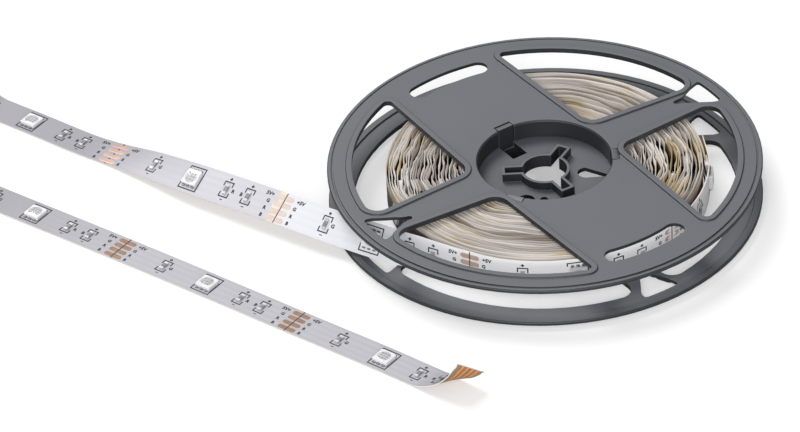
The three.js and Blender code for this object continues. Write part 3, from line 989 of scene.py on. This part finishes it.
fine = add(tree, "ShaderNodeTexNoise", inputs={"Vector": place, "Scale": 420.0, "Detail": 3.0})
edge_tone = add(tree, "ShaderNodeMix", {"data_type": "RGBA"}, {
    "Factor": clean.outputs[0],
    "A": linear("#7c7168"),
    "B": linear("#d2ccc6"),
})
edge_yellow = add(tree, "ShaderNodeMix", {"data_type": "RGBA", "blend_type": "MULTIPLY"}, {
    "Factor": yellowed.outputs[0],
    "A": edge_tone.outputs["Result"],
    "B": linear("#efdfb9"),
})
# Painted shade: the amber back of each turn is painted dark brown, olive where yellowed.
shaded_amber_back = add(tree, "ShaderNodeMix", {"data_type": "RGBA"}, {
    "Factor": yellowed.outputs[0],
    "A": linear("#30261f"),
    "B": linear("#7d683c"),
})
# Painted shade: the white lamp side of each turn is painted a deep brown-grey.
shaded_lamp_side = add(tree, "ShaderNodeMix", {"data_type": "RGBA"}, {
    "Factor": fine.outputs[0],
    "A": linear("#352e2b"),
    "B": linear("#645e5b"),
})
is_outer = add(tree, "ShaderNodeMath", {"operation": "GREATER_THAN"}, {
    0: outward.outputs["Value"],
    1: 0.0,
})
painted_wall_shade = add(tree, "ShaderNodeMix", {"data_type": "RGBA"}, {
    "Factor": is_outer.outputs[0],
    "A": shaded_amber_back.outputs["Result"],
    "B": shaded_lamp_side.outputs["Result"],
})
is_edge = add(tree, "ShaderNodeMath", {"operation": "GREATER_THAN"}, {0: upward.outputs[2], 1: 0.5})
roll_tone = add(tree, "ShaderNodeMix", {"data_type": "RGBA"}, {
    "Factor": is_edge.outputs[0],
    "A": painted_wall_shade.outputs["Result"],
    "B": edge_yellow.outputs["Result"],
})
tree.links.new(roll_tone.outputs["Result"], shader.inputs["Base Color"])


# A tree that winds the board: a flat spiral whose turns sway together and waver one by one,
# less near the drum and the outside. It gives the wound board, or the lamps that stand on it.
def build_wind_tree(name, with_lamps):
    sizes = (
        "Turns", "Inner", "Outer", "Low", "Height", "Thickness",
        "Sway", "Bunch", "Waver", "Lean", "Lamp Pitch",
    )
    inputs = [("Geometry", "Geometry")] + [(label, "Float") for label in sizes]
    tree, given = new_tree(name, inputs + [("Material", "Material")])

    def maths(operation, first, second, third=0.0):
        made = add(tree, "ShaderNodeMath", {"operation": operation}, {0: first, 1: second, 2: third})
        return made.outputs[0]

    spiral = add(tree, "GeometryNodeCurveSpiral", inputs={
        "Resolution": points_per_turn,
        "Rotations": given["Turns"],
        "Start Radius": given["Inner"],
        "End Radius": given["Outer"],
        "Height": 0.0,
    })
    here = add(tree, "GeometryNodeInputPosition").outputs[0]
    outward = add(tree, "ShaderNodeVectorMath", {"operation": "NORMALIZE"}, {0: here}).outputs[0]
    radius = add(tree, "ShaderNodeVectorMath", {"operation": "LENGTH"}, {0: here}).outputs["Value"]
    span = maths("SUBTRACT", given["Outer"], given["Inner"])
    from_inner = maths("SUBTRACT", radius, given["Inner"])
    to_outer = maths("SUBTRACT", given["Outer"], radius)
    turn_number = maths("MULTIPLY", maths("DIVIDE", from_inner, span), given["Turns"])

    # Noise about zero that changes at one rate from turn to turn and at another round a turn
    def noise(per_turn, around):
        level = add(tree, "ShaderNodeCombineXYZ", inputs={2: maths("MULTIPLY", turn_number, per_turn)})
        ring = add(tree, "ShaderNodeVectorMath", {"operation": "SCALE"}, {0: outward, "Scale": around})
        field = add(tree, "ShaderNodeVectorMath", {"operation": "ADD"}, {
            0: ring.outputs[0],
            1: level.outputs[0],
        })
        cloud = add(tree, "ShaderNodeTexNoise", inputs={
            "Vector": field.outputs[0],
            "Scale": 1.0,
            "Detail": 1.0,
        })
        return maths("SUBTRACT", cloud.outputs[0], 0.5)

    # The turns lie closest in front and behind, and waver most at the sides
    flank = add(tree, "ShaderNodeSeparateXYZ", inputs={0: outward})
    wavering = maths("MULTIPLY_ADD", maths("ABSOLUTE", flank.outputs[0], 0.0), 0.9, 0.2)
    sway = maths("MULTIPLY", noise(0.13, 2.0), given["Sway"])
    bunch = maths("MULTIPLY", maths("MULTIPLY", noise(0.8, 1.1), given["Bunch"]), wavering)
    waver = maths("MULTIPLY", maths("MULTIPLY", noise(0.6, 6.0), given["Waver"]), wavering)
    from_drum = maths("DIVIDE", from_inner, calm_at_drum * MM)
    from_outside = maths("DIVIDE", to_outer, calm_outside * MM)
    room = maths("MAXIMUM", maths("MINIMUM", maths("MINIMUM", from_drum, from_outside), 1.0), 0.0)
    push = maths("MULTIPLY", maths("ADD", maths("ADD", sway, bunch), waver), room)
    sideways = add(tree, "ShaderNodeVectorMath", {"operation": "SCALE"}, {0: outward, "Scale": push})
    rise = maths("MULTIPLY_ADD", noise(1.3, 0.6), given["Lean"], given["Low"])
    upward = add(tree, "ShaderNodeCombineXYZ", inputs={2: rise})
    offset = add(tree, "ShaderNodeVectorMath", {"operation": "ADD"}, {
        0: sideways.outputs[0],
        1: upward.outputs[0],
    })
    counted = add(tree, "GeometryNodeStoreNamedAttribute", {"data_type": "FLOAT", "domain": "POINT"}, {
        "Geometry": spiral.outputs[0],
        "Name": "turn",
        "Value": turn_number,
    })
    wound = add(tree, "GeometryNodeSetPosition", inputs={
        "Geometry": counted.outputs[0],
        "Offset": offset.outputs[0],
    })
    if with_lamps:
        places = add(tree, "GeometryNodeCurveToPoints", {"mode": "LENGTH"}, {
            "Curve": wound.outputs[0],
            "Length": given["Lamp Pitch"],
        })
        size = add(tree, "ShaderNodeCombineXYZ", inputs={
            0: given["Height"],
            1: given["Height"],
            2: given["Thickness"],
        })
        lamp = add(tree, "GeometryNodeMeshCube", inputs={"Size": size.outputs[0]})
        stand = add(tree, "GeometryNodeTransform", inputs={
            "Geometry": lamp.outputs[0],
            "Translation": (0, 0, wound_lamp_stand * MM),
        })
        outwards = add(tree, "FunctionNodeAlignRotationToVector", {"axis": "Z"}, {"Vector": outward})
        copies = add(tree, "GeometryNodeInstanceOnPoints", inputs={
            "Points": places.outputs[0],
            "Instance": stand.outputs[0],
            "Rotation": outwards.outputs[0],
        })
        solid = add(tree, "GeometryNodeRealizeInstances", inputs={0: copies.outputs[0]}).outputs[0]
    else:
        wire = add(tree, "GeometryNodeCurveToMesh", inputs={"Curve": wound.outputs[0]})
        lift = add(tree, "ShaderNodeCombineXYZ", inputs={2: given["Height"]})
        wall = add(tree, "GeometryNodeExtrudeMesh", {"mode": "EDGES"}, {
            "Mesh": wire.outputs[0],
            "Offset": lift.outputs[0],
        })
        thick = add(tree, "GeometryNodeExtrudeMesh", {"mode": "FACES"}, {
            "Mesh": wall.outputs[0],
            "Offset Scale": given["Thickness"],
            "Individual": False,
        })
        backs = add(tree, "GeometryNodeFlipFaces", inputs={0: wall.outputs[0]})
        both = add(tree, "GeometryNodeJoinGeometry")
        tree.links.new(thick.outputs[0], both.inputs[0])
        tree.links.new(backs.outputs[0], both.inputs[0])
        weld = add(tree, "GeometryNodeMergeByDistance", inputs={
            "Geometry": both.outputs[0],
            "Distance": 1e-6,
        })
        solid = add(tree, "GeometryNodeRealizeInstances", inputs={0: weld.outputs[0]}).outputs[0]
    coloured = add(tree, "GeometryNodeSetMaterial", inputs={"Geometry": solid, "Material": given["Material"]})
    add(tree, "NodeGroupOutput", inputs={0: coloured.outputs[0]})
    return tree


winding = {
    "Turns": float(roll_turns),
    "Inner": roll_inner * MM,
    "Outer": (roll_outer - wound_turn_thickness) * MM,
    "Low": roll_low * MM,
    "Height": wound_turn_height * MM,
    "Thickness": wound_turn_thickness * MM,
    "Sway": 4.5 * MM,
    "Bunch": 1.3 * MM,
    "Waver": 2.7 * MM,
    "Lean": 0.5 * MM,
    "Lamp Pitch": led_pitch,
    "Material": wound_edge,
}
empty = bpy.data.meshes.new("wound_start")
wound_turns = bake("wound_turns", empty, build_wind_tree("wind_the_board", False), winding)
repair = bmesh.new()
repair.from_mesh(wound_turns.data)
bmesh.ops.recalc_face_normals(repair, faces=repair.faces)
repair.to_mesh(wound_turns.data)
repair.free()
winding.update({
    "Low": (roll_low + wound_turn_height / 2 + wound_lamp_rise) * MM,
    "Height": led_width * MM,
    "Thickness": wound_lamp_depth * MM,
    "Material": body_white,
})
wound_lamps = bake("wound_lamps", empty, build_wind_tree("wind_the_lamps", True), winding)
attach(wound_turns, "root")
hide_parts("wound_strip_roll")
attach(wound_lamps, "root")


# The two halves of the reel
# Injection-moulded polystyrene, slate grey. The flat faces have the mould's fine grain and are
# half matt; the upright faces are painted darker, as painted shade. The shading eases each edge,
# and each edge is painted a little paler as a painted highlight.
edge_radius = 0.25 * MM
grain_height = 0.05 * MM
merge_distance = 1e-6
flat_within = math.radians(0.5)
smooth_within = math.radians(30)

reel_plastic, tree, shader = surface("moulded_polystyrene_grey", {"IOR": 1.55})
place = add(tree, "ShaderNodeTexCoord").outputs["Object"]
flow = add(tree, "ShaderNodeTexNoise", inputs={"Vector": place, "Scale": 26.0, "Detail": 3.0})
tone = add(tree, "ShaderNodeMix", {"data_type": "RGBA"}, {
    "Factor": flow.outputs[0],
    "A": linear("#515359"),
    "B": linear("#5b5d63"),
})
true_normal = add(tree, "ShaderNodeNewGeometry").outputs["Normal"]
facing = add(tree, "ShaderNodeSeparateXYZ", inputs={0: true_normal})
level = add(tree, "ShaderNodeMath", {"operation": "ABSOLUTE"}, {0: facing.outputs[2]})
# Painted shade: faces that stand upright are painted a near-black grey.
upright_shade_mask = add(tree, "ShaderNodeMapRange", inputs={
    "Value": level.outputs[0],
    "From Min": 0.98,
    "From Max": 0.8,
})
painted_shade_on_sides = add(tree, "ShaderNodeMix", {"data_type": "RGBA"}, {
    "Factor": upright_shade_mask.outputs[0],
    "A": tone.outputs["Result"],
    "B": linear("#232428"),
})
eased = add(tree, "ShaderNodeBevel", {"samples": 8}, {"Radius": edge_radius})
turned = add(tree, "ShaderNodeVectorMath", {"operation": "DOT_PRODUCT"}, {
    0: eased.outputs[0],
    1: true_normal,
})
# Painted highlight: where the eased normal leans off the true one, the edge is painted paler.
painted_edge_highlight = add(tree, "ShaderNodeMapRange", inputs={
    "Value": turned.outputs["Value"],
    "From Min": 0.99,
    "From Max": 0.8,
    "To Max": 0.5,
})
edge_highlighted = add(tree, "ShaderNodeMix", {"data_type": "RGBA"}, {
    "Factor": painted_edge_highlight.outputs[0],
    "A": painted_shade_on_sides.outputs["Result"],
    "B": linear("#85878e"),
})
tree.links.new(edge_highlighted.outputs["Result"], shader.inputs["Base Color"])
polish = add(tree, "ShaderNodeMapRange", inputs={"Value": flow.outputs[0], "To Min": 0.4, "To Max": 0.52})
tree.links.new(polish.outputs[0], shader.inputs["Roughness"])
skin = add(tree, "ShaderNodeTexNoise", inputs={"Vector": place, "Scale": 2600.0, "Detail": 2.0})
skin_bump = add(tree, "ShaderNodeBump", inputs={
    "Strength": 0.1,
    "Distance": grain_height,
    "Height": skin.outputs[0],
    "Normal": eased.outputs[0],
})
tree.links.new(skin_bump.outputs[0], shader.inputs["Normal"])


# A half's shape is the frame's own mesh, merged into whole faces
def moulded_half(name, node):
    bm = bmesh.new()
    bm.from_mesh(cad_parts[node].data)
    bmesh.ops.remove_doubles(bm, verts=bm.verts, dist=merge_distance)
    bmesh.ops.dissolve_limit(bm, angle_limit=flat_within, verts=bm.verts, edges=bm.edges)
    for edge in bm.edges:
        edge.smooth = edge.calc_face_angle(0) < smooth_within
    for polygon in bm.faces:
        polygon.smooth = True
    mesh = mesh_of(name, bm)
    mesh.materials.append(reel_plastic)
    piece = put(name, mesh)
    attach(piece, "root")
    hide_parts(node)


moulded_half("upper_half", "upper_flange_half")
moulded_half("lower_half", "lower_flange_half")


# The stage
# A white table that keeps the soft shadow, under one soft lamp high behind on the left, a lower
# one in front and an even glow. The table gives back less light to the object than it shows.
table_reach = 6.0
even_glow = 0.42

floor_material = bpy.data.materials.new("white_table")
floor_material.use_nodes = True
tree = floor_material.node_tree
tree.nodes.clear()
shown = add(tree, "ShaderNodeBsdfDiffuse", inputs={"Color": (0.97, 0.97, 0.97, 1)})
given_back = add(tree, "ShaderNodeBsdfDiffuse", inputs={"Color": (0.5, 0.5, 0.5, 1)})
seen = add(tree, "ShaderNodeLightPath")
lifted = add(tree, "ShaderNodeEmission", inputs={"Color": (1, 1, 1, 1), "Strength": 1.0})
softened = add(tree, "ShaderNodeMixShader", inputs={
    0: 0.4,
    1: shown.outputs[0],
    2: lifted.outputs[0],
})
mixed = add(tree, "ShaderNodeMixShader", inputs={
    0: seen.outputs["Is Camera Ray"],
    1: given_back.outputs[0],
    2: softened.outputs[0],
})
add(tree, "ShaderNodeOutputMaterial", inputs={0: mixed.outputs[0]})
floor_mesh = bpy.data.meshes.new("table")
corners = [(x * table_reach, y * table_reach, 0) for x, y in ((-1, -1), (1, -1), (1, 1), (-1, 1))]
floor_mesh.from_pydata(corners, [], [(0, 1, 2, 3)])
floor_mesh.materials.append(floor_material)
table = put("table", floor_mesh)

world = bpy.data.worlds.new("studio")
scene.world = world
world.use_nodes = True
tree = world.node_tree
tree.nodes.clear()
air = add(tree, "ShaderNodeBackground", inputs={"Color": (1, 1, 1, 1), "Strength": even_glow})
plain = add(tree, "ShaderNodeBackground", inputs={"Color": (1, 1, 1, 1), "Strength": 1.0})
seen = add(tree, "ShaderNodeLightPath")
mixed = add(tree, "ShaderNodeMixShader", inputs={
    0: seen.outputs["Is Camera Ray"],
    1: air.outputs[0],
    2: plain.outputs[0],
})
add(tree, "ShaderNodeOutputWorld", inputs={0: mixed.outputs[0]})


def soft_lamp(name, place, size, power):
    data = bpy.data.lights.new(name, "AREA")
    data.size = size
    data.energy = power
    lamp = put(name, data)
    lamp.location = place
    lamp.rotation_euler = (-Vector(place)).to_track_quat("-Z", "Y").to_euler()


soft_lamp("window_behind", (-0.6, 1.0, 1.5), 1.0, 25)
soft_lamp("front_fill", (-0.2, -1.6, 0.7), 1.2, 28)

scene.view_settings.view_transform = "Standard"
